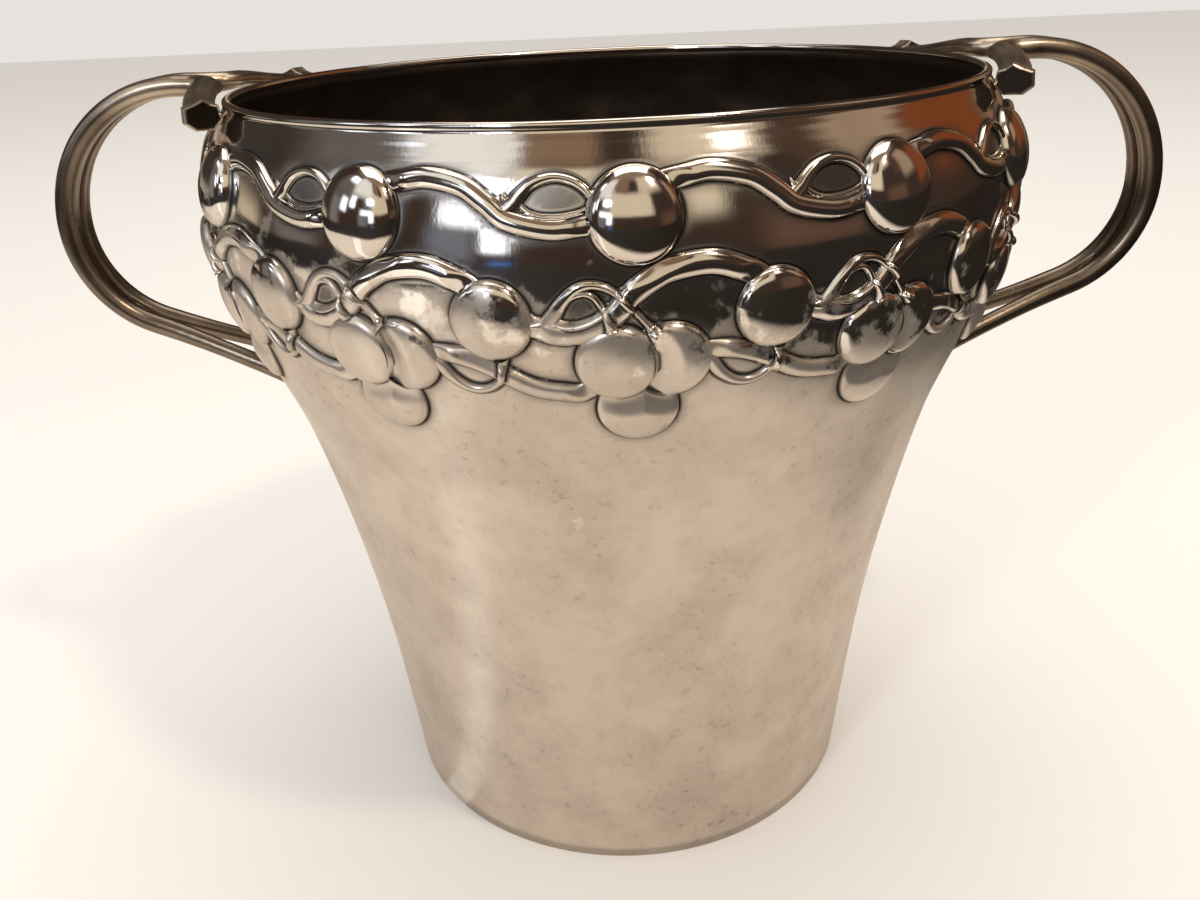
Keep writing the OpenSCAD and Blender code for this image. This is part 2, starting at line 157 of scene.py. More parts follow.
def silverPlate(name, low, high):
    # silver plate over base metal, pressed and hand polished: a mirror above, handled satin below.
    # low and high are the roughness of the rubbed and of the handled plate
    material, tree, shader = newMaterial(name)
    spot = addNode(tree, "TexCoord").outputs["Object"]
    axes = addNode(tree, "SeparateXYZ", {}, {0: spot})
    # one side has been handled and wiped higher up than the other
    height = addNode(tree, "Math", {"operation": "MULTIPLY_ADD", 1: 0.13},
                     {0: axes.outputs["X"], 2: axes.outputs["Z"]}).outputs["Value"]
    cloud = addNode(tree, "TexNoise", {"Scale": 1 / 0.026, "Detail": 7, "Roughness": 0.66}, {"Vector": spot})
    patch = addNode(tree, "TexNoise", {"Scale": 1 / 0.0075, "Detail": 7, "Roughness": 0.62},
                    {"Vector": spot})
    fine = addNode(tree, "TexNoise", {"Scale": 1 / 0.0022, "Detail": 6, "Roughness": 0.7}, {"Vector": spot})
    # polishing and wiping ran up and down the wall and left long faint streaks
    long = addNode(tree, "Mapping", {"Scale": (1, 1, 0.09)}, {"Vector": spot})
    streak = addNode(tree, "TexNoise", {"Scale": 1 / 0.021, "Detail": 3}, {"Vector": long.outputs["Vector"]})
    clouds = addNode(tree, "MapRange", {"From Min": 0.4, "From Max": 0.72}, {"Value": cloud.outputs["Fac"]})
    streaks = addNode(tree, "MapRange", {"From Min": 0.4, "From Max": 0.66},
                      {"Value": streak.outputs["Fac"]})
    # the handled plate grows downwards in torn patches, through the lower relief to the plain wall
    lower = addNode(tree, "MapRange", {"From Min": 0.184, "From Max": 0.15, "To Min": -0.16, "To Max": 0.36},
                    {"Value": height})
    torn = addNode(tree, "Math", {"operation": "ADD"}, {0: patch.outputs["Fac"], 1: lower.outputs["Result"]})
    satin = addNode(tree, "MapRange", {"From Min": 0.585, "From Max": 0.67},
                    {"Value": torn.outputs["Value"]})
    bright = addNode(tree, "MixRGB", {"Color1": colour("#f1ece5"), "Color2": colour("#e3dbd1")},
                     {"Fac": streaks.outputs["Result"]})
    handled = addNode(tree, "MixRGB", {"Color2": colour("#dfd4c7")},
                      {"Fac": satin.outputs["Result"], "Color1": bright.outputs["Color"]})
    clouded = addNode(tree, "Math", {"operation": "MULTIPLY"},
                      {0: clouds.outputs["Result"], 1: satin.outputs["Result"]})
    stained = addNode(tree, "MixRGB", {"Color2": colour("#c3b7aa")},
                      {"Fac": clouded.outputs["Value"], "Color1": handled.outputs["Color"]})
    # small dark freckles where the plate has worn through
    freckle = addNode(tree, "MapRange", {"From Min": 0.56, "From Max": 0.7}, {"Value": fine.outputs["Fac"]})
    freckled = addNode(tree, "Math", {"operation": "MULTIPLY"},
                       {0: freckle.outputs["Result"], 1: clouded.outputs["Value"]})
    worn = addNode(tree, "MixRGB", {"Color2": colour("#8d8073")},
                   {"Fac": freckled.outputs["Value"], "Color1": stained.outputs["Color"]})
    # the dark mix paints shade beside and round the relief, with oxide in the creases at its foot, and paints
    # the loop grounds darker
    patinaAndShade = addNode(tree, "Attribute", {"attribute_name": "patinaAndShade"}).outputs["Fac"]
    dark = addNode(tree, "MixRGB", {"Color2": colour("#1f1913")},
                   {"Fac": patinaAndShade, "Color1": worn.outputs["Color"]})
    tree.links.new(dark.outputs["Color"], shader.inputs["Base Color"])
    # a thin film of tarnish and old polish scatters the light there, so the patches read as cream
    film = addNode(tree, "MapRange", {"To Min": 1, "To Max": 0.84}, {"Value": satin.outputs["Result"]})
    tree.links.new(film.outputs["Result"], shader.inputs["Metallic"])
    spread = 0.07
    smear = addNode(tree, "MapRange", {"To Min": low, "To Max": low + spread},
                    {"Value": patch.outputs["Fac"]})
    wiped = addNode(tree, "MapRange", {"To Min": high, "To Max": high + spread},
                    {"Value": clouds.outputs["Result"]})
    rough = addNode(tree, "MixRGB", {}, {"Fac": satin.outputs["Result"], "Color1": smear.outputs["Result"],
                                         "Color2": wiped.outputs["Result"]})
    roughAll = addNode(tree, "Math", {"operation": "MULTIPLY_ADD", 1: 0.35},
                       {0: patinaAndShade, 2: rough.outputs["Color"]})
    tree.links.new(roughAll.outputs["Value"], shader.inputs["Roughness"])
    # the sheet was drawn over a form, so its mirror wavers over 20 to 30 mm
    waver = addNode(tree, "TexNoise", {"Scale": 1 / 0.028, "Detail": 1}, {"Vector": spot})
    wavering = addNode(tree, "Bump", {"Strength": 0.5, "Distance": 0.0007}, {"Height": waver.outputs["Fac"]})
    # hairline scratches from years of polishing: long, thin, slanting, and drawn coarser than real ones
    slant = addNode(tree, "Mapping", {"Rotation": (0.5, 0.4, 0.3), "Scale": (1, 1, 0.04)}, {"Vector": spot})
    hair = addNode(tree, "TexNoise", {"Scale": 1 / 0.0007, "Detail": 3, "Distortion": 0.6},
                   {"Vector": slant.outputs["Vector"]})
    scratched = addNode(tree, "Bump", {"Strength": 0.08, "Distance": 0.0001},
                        {"Height": hair.outputs["Fac"], "Normal": wavering.outputs["Normal"]})
    tree.links.new(scratched.outputs["Normal"], shader.inputs["Normal"])
    return material


def castPatina(name):
    # cast metal under a dark brown patina, with the ridges rubbed back to pale bronze by hands.
    # The ridges and arm tops are painted lighter still as a painted highlight, and the hollows darker as
    # painted shade over their patina
    material, tree, shader = newMaterial(name)
    spot = addNode(tree, "TexCoord").outputs["Object"]
    cloud = addNode(tree, "TexNoise", {"Scale": 1 / 0.014, "Detail": 7, "Roughness": 0.6}, {"Vector": spot})
    patches = addNode(tree, "MapRange", {"From Min": 0.3, "From Max": 0.6, "To Min": 0.45, "To Max": 1.2},
                      {"Value": cloud.outputs["Fac"]})
    # the pale mix is worn metal with a painted highlight on the ridges, the arm tops and the blocks' bevels
    rubAndHighlight = addNode(tree, "Attribute", {"attribute_name": "rubbedAndHighlight"}).outputs["Fac"]
    rubbedAndHighlight = addNode(tree, "Math", {"operation": "MULTIPLY"}, {0: rubAndHighlight, 1: patches.outputs["Result"]})
    base = addNode(tree, "MixRGB", {"Color1": colour("#5f5349"), "Color2": colour("#e2d1b9")},
                   {"Fac": rubbedAndHighlight.outputs["Value"]})
    # the dark mix is patina with painted shade in the hollows, and painted shade on the blocks' cut ends
    patinaAndShade = addNode(tree, "Attribute", {"attribute_name": "patinaAndShade"}).outputs["Fac"]
    deep = addNode(tree, "MixRGB", {"Color2": colour("#17110d")},
                   {"Fac": patinaAndShade, "Color1": base.outputs["Color"]})
    tree.links.new(deep.outputs["Color"], shader.inputs["Base Color"])
    shader.inputs["Metallic"].default_value = 1
    rough = addNode(tree, "MapRange", {"To Min": 0.24, "To Max": 0.38}, {"Value": cloud.outputs["Fac"]})
    tree.links.new(rough.outputs["Result"], shader.inputs["Roughness"])
    return material


def dullPlate(name):
    # the unpolished inside of the bucket: plate gone nearly black with oxide
    material, tree, shader = newMaterial(name)
    spot = addNode(tree, "TexCoord").outputs["Object"]
    cloud = addNode(tree, "TexNoise", {"Scale": 1 / 0.02, "Detail": 7, "Roughness": 0.65}, {"Vector": spot})
    base = addNode(tree, "MixRGB", {"Color1": colour("#2a221d"), "Color2": colour("#6b5b4e")},
                   {"Fac": cloud.outputs["Fac"]})
    tree.links.new(base.outputs["Color"], shader.inputs["Base Color"])
    shader.inputs["Metallic"].default_value = 0.85
    rough = addNode(tree, "MapRange", {"To Min": 0.35, "To Max": 0.55}, {"Value": cloud.outputs["Fac"]})
    tree.links.new(rough.outputs["Result"], shader.inputs["Roughness"])
    return material


print("materials")
mirrorPlate = silverPlate("polishedSilverPlate", 0.05, 0.3)
patina = castPatina("brownPatinaCasting")
oxide = dullPlate("oxidisedPlate")

# places in the relief are [share of one repeat round the bucket, drop below the lip in millimetres];
# skirt is the thin dark edge round each shape, painted shade at its foot with oxide in the crease:
# distance from its foot, height over the wall, and how dark
relief = {"repeats": 12, "samples": 90, "skirt": [(0.12, 0.05, 1), (0.38, 0.03, 0.75), (0.8, 0.012, 0.3)]}
turn = 360 / relief["repeats"]

bosses = {
    "upper": {"at": (0.055, 15.6), "wide": 17.4, "high": 4.1, "rim": 1.7, "shoulder": 2.4},
    "middle": {"at": (0.545, 33.7), "wide": 15.8, "high": 3.1, "rim": 1.55, "shoulder": 1.5},
    "trioFront": {"at": (-0.021, 42.1), "wide": 15.8, "high": 3.1, "rim": 1.7, "shoulder": 1.5},
    "trioSide": {"at": (0.17, 42.1), "wide": 15.8, "high": 2.7, "rim": 1.3, "shoulder": 1.5},
    "trioLower": {"at": (0.053, 52.4), "wide": 15.8, "high": 2.3, "rim": 1.1, "shoulder": 1.4},
}

vines = {
    "upper": {"wide": 3.8, "high": 1.65, "path": [
        [-0.02, 14.6], [0.08, 12.1], [0.14, 10.4], [0.229, 9.5], [0.329, 8.9], [0.461, 10.2], [0.552, 13.1],
        [0.623, 15.7], [0.762, 17.3], [0.863, 16.9], [0.95, 16.3], [1.03, 15.9]]},
    "middle": {"wide": 4.5, "high": 1.7, "path": [
        [-0.5, 33.4], [-0.4, 33.9], [-0.3, 34.8], [-0.221, 36.1], [-0.133, 35.8], [-0.065, 34.2],
        [-0.012, 32], [0.043, 28.6], [0.112, 26.1], [0.168, 24.8], [0.273, 24], [0.347, 24.4],
        [0.423, 25.9], [0.48, 27.5], [0.53, 30.5]]},
    "lower": {"wide": 3.9, "high": 1.6, "path": [
        [0.2, 41.2], [0.32, 40.8], [0.395, 41], [0.467, 42], [0.536, 43.6], [0.585, 45.1], [0.64, 46.7],
        [0.7, 47.8], [0.78, 48.4], [0.862, 48.3], [0.979, 44]]},
}

# stalks and loops: each place is [share, drop, width, how far the strip climbs over what it crosses]
tendrils = {
    "upperLoop": {"vine": "upper", "high": 1.25, "steps": 60, "places": [
        [0.55, 13.8, 1.2, 0], [0.6, 14.7, 3.0, 0], [0.638, 13.5, 3.1, 0], [0.668, 11.7, 2.5, 0],
        [0.712, 9.9, 2.0, 0], [0.778, 9.0, 1.75, 0], [0.842, 9.5, 1.65, 0], [0.888, 10.9, 1.6, 0],
        [0.915, 12.6, 1.5, 0]]},
    "upperLip": {"vine": "upper", "high": 0.55, "steps": 36, "places": [
        [0.668, 13.4, 1.0, 1], [0.70, 14.6, 1.2, 1], [0.74, 15.2, 1.2, 1], [0.8, 15.3, 1.2, 1],
        [0.86, 14.8, 1.1, 1], [0.91, 13.8, 1.0, 1]]},
    "upperEar": {"vine": "upper", "high": 0.9, "steps": 14, "places": [
        [0.606, 11.3, 0.5, 0], [0.616, 12.3, 1.1, 0], [0.632, 13.2, 1.5, 0]]},
    "middleOuter": {"vine": "middle", "feet": ["trioSide"], "high": 1.2, "steps": 84, "places": [
        [-0.32, 34.4, 1.2, 0], [-0.27, 34.4, 2.8, 0], [-0.235, 32.6, 2.9, 0], [-0.2, 30.0, 2.4, 0],
        [-0.158, 27.9, 2.0, 0], [-0.11, 27.0, 1.75, 0.2], [-0.055, 27.5, 1.6, 0.6], [-0.005, 29.2, 1.5, 1],
        [0.042, 31.9, 1.4, 1], [0.082, 34.4, 1.45, 1], [0.104, 35.7, 2.2, 1], [0.116, 36.3, 2.7, 1]]},
    "middleInner": {"vine": "middle", "feet": ["trioFront"], "high": 1.1, "steps": 50, "places": [
        [-0.195, 30.2, 1.1, 0], [-0.16, 28.9, 1.2, 0], [-0.122, 28.5, 1.25, 0], [-0.092, 29.2, 1.3, 0.5],
        [-0.068, 31.0, 1.3, 1], [-0.05, 33.0, 1.35, 1], [-0.038, 34.4, 2.0, 1], [-0.034, 35.1, 2.6, 1]]},
    "middleLip": {"vine": "middle", "high": 0.55, "steps": 30, "places": [
        [-0.235, 33.2, 1.0, 1], [-0.2, 34.1, 1.2, 1], [-0.15, 34.2, 1.2, 1], [-0.09, 33.0, 1.1, 1],
        [-0.045, 31.3, 1.0, 1]]},
    "middleEar": {"vine": "middle", "high": 0.9, "steps": 16, "places": [
        [-0.312, 32.2, 0.6, 0], [-0.298, 33.2, 1.2, 0], [-0.272, 33.8, 1.5, 0]]},
    "lower": {"vine": "lower", "feet": ["middle"], "high": 1.15, "steps": 72, "places": [
        [0.3, 41.6, 1.2, 0], [0.322, 43.3, 2.5, 0], [0.345, 45.1, 2.6, 0], [0.378, 46.7, 2.2, 0],
        [0.42, 47.9, 1.9, 0], [0.47, 48.2, 1.7, 0.2], [0.52, 47.3, 1.6, 0.8], [0.553, 45.6, 1.5, 1],
        [0.566, 43.6, 1.5, 1], [0.57, 42.0, 2.0, 1], [0.57, 41.1, 2.7, 1]]},
}


def curveThrough(points, count):
    # Catmull-Rom curve through places of any width, evenly stepped in its parameter
    k = np.asarray(points, float)
    s = np.linspace(0, len(k) - 1, count)
    i = np.clip(s.astype(int), 0, len(k) - 2)
    t = (s - i)[:, None]
    a, b, c, d = k[np.clip(i - 1, 0, None)], k[i], k[i + 1], k[np.clip(i + 2, None, len(k) - 1)]
    return b + (c - a) * t / 2 + (2 * a - 5 * b + 4 * c - d) * t**2 / 2 + (3 * b - a - 3 * c + d) * t**3 / 2


def along(angle, z, angle0, z0):
    # millimetres across and up the wall from one place to another
    zMid = (z + z0) / 2
    return np.radians(angle - angle0) * wallR(zMid), (z - z0) / np.cos(wallTilt(zMid))


def bossGap(key, angle, z, shift=0):
    boss = bosses[key]
    across, up = along(angle, z, (boss["at"][0] + shift) * turn, lipTop - boss["at"][1])
    return np.hypot(across, up)


def bossProfile(boss, rho):
    # a low dome whose edge rolls over a rounded shoulder
    radius = boss["wide"] / 2
    inRim = np.clip((rho - radius + boss["shoulder"]) / boss["shoulder"], 0, 1)
    dome = np.clip(1 - (rho / radius) ** 2, 0, 1)
    return boss["rim"] * np.sqrt(1 - inRim**2) + (boss["high"] - boss["rim"]) * dome**0.9


def vineLine(vine):
    line = curveThrough(vine["path"], relief["samples"])
    return line[:, 0] * turn, lipTop - line[:, 1]


def vineGap(key, angle, z):
    # distance to the middle of a vine, with its neighbours in the next repeats
    lineAngle, lineZ = vineLine(vines[key])
    best = np.full(np.shape(angle), 1e9)
    for shift in (-1, 0, 1):
        for a0, z0 in zip(lineAngle + shift * turn, lineZ):
            across, up = along(angle, z, a0, z0)
            best = np.minimum(best, np.hypot(across, up))
    return best


def vineField(key, angle, z):
    # height of a vine over the wall at each place
    vine = vines[key]
    gap = 2 * vineGap(key, angle, z) / vine["wide"]
    return vine["high"] * np.sqrt(np.clip(1 - gap**2, 0, 1))


def bossField(keys, angle, z):
    best = np.zeros(np.shape(angle))
    for key in keys:
        for shift in (-1, 0, 1):
            gap = bossGap(key, angle, z, shift)
            radius = bosses[key]["wide"] / 2
            high = np.where(gap < radius, bossProfile(bosses[key], np.minimum(gap, radius)), 0)
            best = np.maximum(best, high)
    return best


def dive(keys, angle, z, low, reach):
    # how much of its height a shape keeps beside the bosses that it runs behind
    keep = np.ones(np.shape(angle))
    for key in keys:
        for shift in (-1, 0, 1):
            edge = bossGap(key, angle, z, shift) - bosses[key]["wide"] / 2
            keep = np.minimum(keep, low + (1 - low) * ease(edge / reach))
    return keep


def roundTheBucket(name, points, faces, patinaAndShade):
    # one repeat of points, turned round the axis
    parts, allFaces = [], []
    for k in range(relief["repeats"]):
        a = math.radians(k * turn)
        spin = np.array([[math.cos(a), -math.sin(a), 0], [math.sin(a), math.cos(a), 0], [0, 0, 1]])
        parts.append(points @ spin.T)
        allFaces.append(faces + k * len(points))
    return makeMesh(name, np.concatenate(parts), np.concatenate(allFaces),
                    {"patinaAndShade": np.tile(patinaAndShade, relief["repeats"])})


def bossPiece(name, key, over=()):
    # polar grid over the wall, cut short where a boss in front covers it, with a dark seam round its foot:
    # painted shade with oxide in the crease, and painted shade where it runs under the boss in front
    boss = bosses[key]
    radius, spokes, rings = boss["wide"] / 2, 96, 24
    angle0, z0 = boss["at"][0] * turn, lipTop - boss["at"][1]
    phi = np.linspace(0, 2 * math.pi, spokes, endpoint=False)
    reach = np.full(spokes, radius)
    for other, shift in over:
        front = bosses[other]
        across, up = along((front["at"][0] + shift) * turn, lipTop - front["at"][1], angle0, z0)
        frontR = front["wide"] / 2 - 0.9
        mid = across * np.cos(phi) + up * np.sin(phi)
        inside = mid**2 - (across**2 + up**2 - frontR**2)
        hit = np.where((inside > 0) & (mid > 0), mid - np.sqrt(np.clip(inside, 0, None)), 99)
        reach = np.minimum(reach, hit)
    free = reach >= radius - 1e-6
    edgeSteps = np.array([2.4, 1.9, 1.5, 1.15, 0.88, 0.65, 0.45, 0.28, 0.13, 0])
    flat = np.linspace(0, 1, rings - len(edgeSteps))[:, None] * (reach - 3)[None]
    rho = np.concatenate([flat, reach[None] - edgeSteps[:, None]])
    high = bossProfile(boss, rho)
    patinaAndShade = np.zeros_like(rho)
    # the foot of the rolled edge is painted dark: painted shade, with oxide in the crease
    patinaAndShade[-2:, free] = [[0.5], [1]]
    for step, lift, dark in relief["skirt"]:
        rho = np.vstack([rho, np.where(free, rho[rings - 1] + step, rho[rings - 1] + 0.02)])
        high = np.vstack([high, np.where(free, lift, high[rings - 1] - 0.3)])
        patinaAndShade = np.vstack([patinaAndShade, np.where(free, dark, 1)])
    z = z0 + rho * np.sin(phi) * np.cos(wallTilt(z0))
    angle = angle0 + np.degrees(rho * np.cos(phi) / wallR(z))
    if over:
        keep = np.ones_like(rho)
        for other, shift in over:
            edge = bossGap(other, angle, z, shift) - bosses[other]["wide"] / 2
            keep = np.minimum(keep, 0.42 + 0.58 * ease(edge / 4.5))
            # painted shade on this boss along the edge of the boss in front of it
            patinaAndShade = np.maximum(patinaAndShade, 0.8 * ease(1 - edge / 0.38) * ~free)
        high[:rings] *= keep[:rings]
    points = onWall(angle, z, high).reshape(-1, 3)
    return roundTheBucket(name, points, gridFaces(len(rho), spokes, True), patinaAndShade.ravel())


def stripPiece(name, strips):
    # half-round strips along curves on the wall; a strip with climb lies over what it crosses
    points, faces, patinaAndShade, count = [], [], [], 0
    skirt, bend = relief["skirt"], np.sin(np.linspace(-math.pi / 2, math.pi / 2, 13))
    lift = np.array([s[1] for s in reversed(skirt)] + [0] * 13 + [s[1] for s in skirt])
    body = np.array([0, 0, 0] + [math.sqrt(max(0, 1 - b * b)) ** 0.85 for b in bend] + [0, 0, 0])
    # the flanks and skirt of each strip are painted dark: painted shade at its foot, with oxide in the crease
    dark = [s[2] for s in reversed(skirt)] + [1, 0.35] + [0] * 9 + [0.35, 1] + [s[2] for s in skirt]
    for strip in strips:
        n = strip["steps"]
        data = curveThrough(strip["places"], n)
        angle, z, wide, climb = data[:, 0] * turn, lipTop - data[:, 1], data[:, 2], data[:, 3]
        across, up = along(np.roll(angle, -1), np.roll(z, -1), np.roll(angle, 1), np.roll(z, 1))
        across[[0, -1]], up[[0, -1]] = across[[1, -2]], up[[1, -2]]
        size = np.hypot(across, up)
        across, up = across / size, up / size
        offset = [-0.5 * wide - s[0] for s in reversed(skirt)] + [0.5 * wide * b for b in bend]
        offset = np.array(offset + [0.5 * wide + s[0] for s in skirt])
        zz = z + offset * across * np.cos(wallTilt(z))
        aa = angle - np.degrees(offset * up / wallR(zz))
        keep = dive(strip.get("behind", ()), aa, zz, 0.45, 3.5)
        under = np.zeros_like(aa)
        if "vine" in strip:
            under = np.maximum(vineField(strip["vine"], aa, zz), bossField(strip.get("feet", ()), aa, zz))
        taper = np.clip(wide / 1.5, 0, 1) ** 0.6
        out = under * np.clip(climb, 0, 1) + lift[:, None] + body[:, None] * strip["high"] * keep * taper
        faces.append(gridFaces(len(offset), n, False, count))
        points.append(onWall(aa, zz, out).reshape(-1, 3))
        patinaAndShade.append(np.repeat(dark, n))
        count += len(offset) * n
    faces = np.concatenate(faces)[:, ::-1]
    return roundTheBucket(name, np.concatenate(points), faces, np.concatenate(patinaAndShade))


def vineStrip(key, behind):
    vine = vines[key]
    places = [[p[0], p[1], vine["wide"], 0] for p in vine["path"]]
    return {"places": places, "high": vine["high"], "steps": 96, "behind": behind}


# share of the relief's height, and how much narrower or wider than its face, in millimetres
pressed = {"trioShare": 0.32, "bossShare": 0.5, "bossWider": -1.4, "vineShare": 0.36, "vineWider": -1.5}
inner = {"bossShare": 0.3, "bossWider": 1, "vineShare": 0.22, "vineWider": 2}


def pressedHeight(angle, z):
    # how far the sheet itself is pushed out behind the relief: softer and lower than the relief's face
    field = np.zeros(np.shape(angle))
    for key, boss in bosses.items():
        share = pressed["trioShare"] if key.startswith("trio") else pressed["bossShare"]
        for shift in (-1, 0, 1):
            gap = bossGap(key, angle, z, shift) / (boss["wide"] / 2 + pressed["bossWider"])
            field = np.maximum(field, boss["high"] * share * np.clip(1 - gap**2, 0, 1) ** 0.8)
    for key, vine in vines.items():
        gap = vineGap(key, angle, z) * 2 / (vine["wide"] + pressed["vineWider"])
        field = np.maximum(field, vine["high"] * pressed["vineShare"] * np.sqrt(np.clip(1 - gap**2, 0, 1)))
    return field


def innerHeight(angle, z):
    # the backs of the relief show inside as soft hollows, with none of the face's edges
    field = np.zeros(np.shape(angle))
    for key, boss in bosses.items():
        for shift in (-1, 0, 1):
            gap = bossGap(key, angle, z, shift) / (boss["wide"] / 2 + inner["bossWider"])
            field = np.maximum(field, boss["high"] * inner["bossShare"] * np.clip(1 - gap**2, 0, 1) ** 2)
    for key, vine in vines.items():
        gap = vineGap(key, angle, z) * 2 / (vine["wide"] + inner["vineWider"])
        field = np.maximum(field, vine["high"] * inner["vineShare"] * np.clip(1 - gap**2, 0, 1) ** 2)
    return field


def sheetPiece():
    # the whole sheet in one skin: up the outside, over the top and down the inside, then closed at the foot
    plainTop, top = sheet["plainTop"], sheet["top"]
    heights = np.concatenate([np.linspace(0, plainTop, 32), np.linspace(plainTop, top, 58)[1:]])
    inRows = np.concatenate([heights[:31:3], heights[32::2]])[::-1]
    perRepeat, repeats = sheet["columns"], relief["repeats"]
    angle = np.arange(perRepeat) * turn / perRepeat
    aa, zz = np.meshgrid(angle, heights)
    push = np.where(zz > plainTop, pressedHeight(aa, zz), 0)
    # painted shade: the plate's colour is darkened in a soft band beside each boss and vine
    paintedDark = np.zeros_like(push)
    for key in bosses:
        for shift in (-1, 0, 1):
            edge = bossGap(key, aa, zz, shift) - bosses[key]["wide"] / 2
            paintedDark = np.maximum(paintedDark, sheet["paintedDark"] * ease(1 - edge / sheet["bossShadeReach"]))
    for key, vine in vines.items():
        edge = vineGap(key, aa, zz) - vine["wide"] / 2
        paintedDark = np.maximum(paintedDark, sheet["paintedDark"] * ease(1 - edge / sheet["vineShadeReach"]))
    # the grounds inside the loops are painted darker too, in the same map
    for share, drop, halfWide, halfHigh in sheet["hollows"]:
        for shift in (-1, 0, 1):
            across, up = along(aa, zz, (share + shift) * turn, lipTop - drop)
            inside = ease((1.2 - np.hypot(across / halfWide, up / halfHigh)) / 0.3)
            paintedDark = np.maximum(paintedDark, sheet["hollowDark"] * inside)
    ia, iz = np.meshgrid(angle, inRows)
    hollow = innerHeight(ia, iz) * ease((iz - plainTop) / 6) * ease((top - iz) / 3) - sheet["thick"]
    full = np.arange(perRepeat * repeats) * turn / perRepeat
    rows = np.concatenate([heights, inRows])
    points = onWall(*np.meshgrid(full, rows), np.tile(np.concatenate([push, hollow]), repeats))
    points[[0, -1], :, 2] = 0
    # the painted shade and the darker loop grounds make the outside's dark map; the inside gets none
    sheetDarkMap = np.tile(np.concatenate([paintedDark, np.zeros_like(hollow)]), repeats)
    faces = gridFaces(len(rows), len(full), True)
    k = np.arange(len(full))
    last = (len(rows) - 1) * len(full)
    foot = np.stack([last + k, last + (k + 1) % len(full), (k + 1) % len(full), k], -1)
    isInside = np.arange(len(faces)) // len(full) >= len(heights)
    return points.reshape(-1, 3), np.concatenate([faces, foot]), sheetDarkMap.ravel(), np.append(isInside, 0 * k)


print("sheet")
points, faces, patinaAndShade, isInside = sheetPiece()
bucket = place(makeMesh("bucketSheet", points, faces, {"patinaAndShade": patinaAndShade}), mirrorPlate,
               "pressed_silver_plate", "body_wall")
bucket.data.materials.append(oxide)
bucket.data.polygons.foreach_set("material_index", isInside.astype(np.int32))

print("bosses")
polished = "polished_silver_plate"
place(bossPiece("upperBosses", "upper"), mirrorPlate, polished, "upper_bosses")
place(bossPiece("middleBosses", "middle"), mirrorPlate, polished, "middle_bosses")
place(bossPiece("trioFrontBosses", "trioFront"), mirrorPlate, polished, "trio_front_bosses")
place(bossPiece("trioSideBosses", "trioSide", [("trioFront", 0)]), mirrorPlate, polished, "trio_side_bosses")
place(bossPiece("trioLowerBosses", "trioLower", [("trioFront", 0), ("trioSide", 0)]), mirrorPlate, polished,
      "trio_lower_bosses")

print("vines")
place(stripPiece("upperVine", [vineStrip("upper", ("upper",))]), mirrorPlate, polished, "upper_vine")
place(stripPiece("middleVine", [vineStrip("middle", ("middle", "upper"))]), mirrorPlate, polished,
      "middle_vine")
place(stripPiece("lowerVine", [vineStrip("lower", ("middle", "trioFront", "trioSide"))]), mirrorPlate,
      polished, "lower_vine")
for pieceName, keys, node in (
        ("upperLoops", ("upperLoop", "upperLip", "upperEar"), "upper_tendrils"),
        ("middleLoops", ("middleOuter", "middleInner", "middleLip", "middleEar"), "middle_tendrils"),
        ("lowerLoops", ("lower",), "lower_tendrils")):
    place(stripPiece(pieceName, [tendrils[k] for k in keys]), mirrorPlate, polished, node)

print("lip")
# profile is (out from the wall, height) in millimetres
lip = {"profile": [(0.02, 193.6), (0.07, 195.2), (0.2, 196.6), (0.42, 197.8), (0.62, 198.7), (0.66, 199.3),
                   (0.42, 199.8), (-0.1, 200.0), (-0.7, 200.0), (-1.25, 199.75), (-1.5, 199.2), (-1.5, 198.4),
                   (-1.36, 197.4), (-1.22, 196.2)], "columns": 360}


def lipPiece():
    # the sheet's edge, turned over and burnished; a few tenths out of true, as hand work is
    profile = curveThrough(lip["profile"], 40)
    angle = np.linspace(0, 360, lip["columns"], endpoint=False)
    wave = np.array([noise.noise(Vector((math.cos(a), math.sin(a), 0)) * 3.1) for a in np.radians(angle)])
    r = wallR(np.minimum(profile[:, 1], sheet["top"]))[:, None] + profile[:, :1] * (1 + 0.12 * wave[None])
    z = profile[:, 1:] - 0.12 * np.abs(wave[None]) * (profile[:, 1:] > 198.5)
    a = np.radians(angle)[None]
    points = np.stack([r * np.sin(a), -r * np.cos(a), z + 0 * a], -1)
    return makeMesh("turnedLip", points.reshape(-1, 3), gridFaces(len(profile), len(angle), True))


place(lipPiece(), mirrorPlate, polished, "lip_bead")


# millimetres and degrees: the rim arm, the strap, the lower fork, its feet on the wall, and the skin
handle = {
    "armR": 98.2, "armTurn": 25, "armZ": 201.2, "armDrop": 3.0, "armPoints": 14, "armTip": 1.8,
    "armSides": (1.8, -1.7), "armSide": 1.95, "fillet": 6, "topRun": 4.3,
    "reach": 143.9, "reachZ": 165.5, "rail": 2.6, "railGap": 3.95, "rib": 1.55,
    "ridge": 1.35, "ridgeGap": 1.9, "ridgeIn": 1.1,
    "lowBend": 28, "lowTurn": 68, "forkR": 86.5, "forkSpread": 5.2,
    "footR": 86, "footZ": 113.5, "footSize": 3.4, "footPoints": 16, "footSink": 0.45,
    "voxel": 0.4, "smooth": 3, "ridgeGain": 15,
}


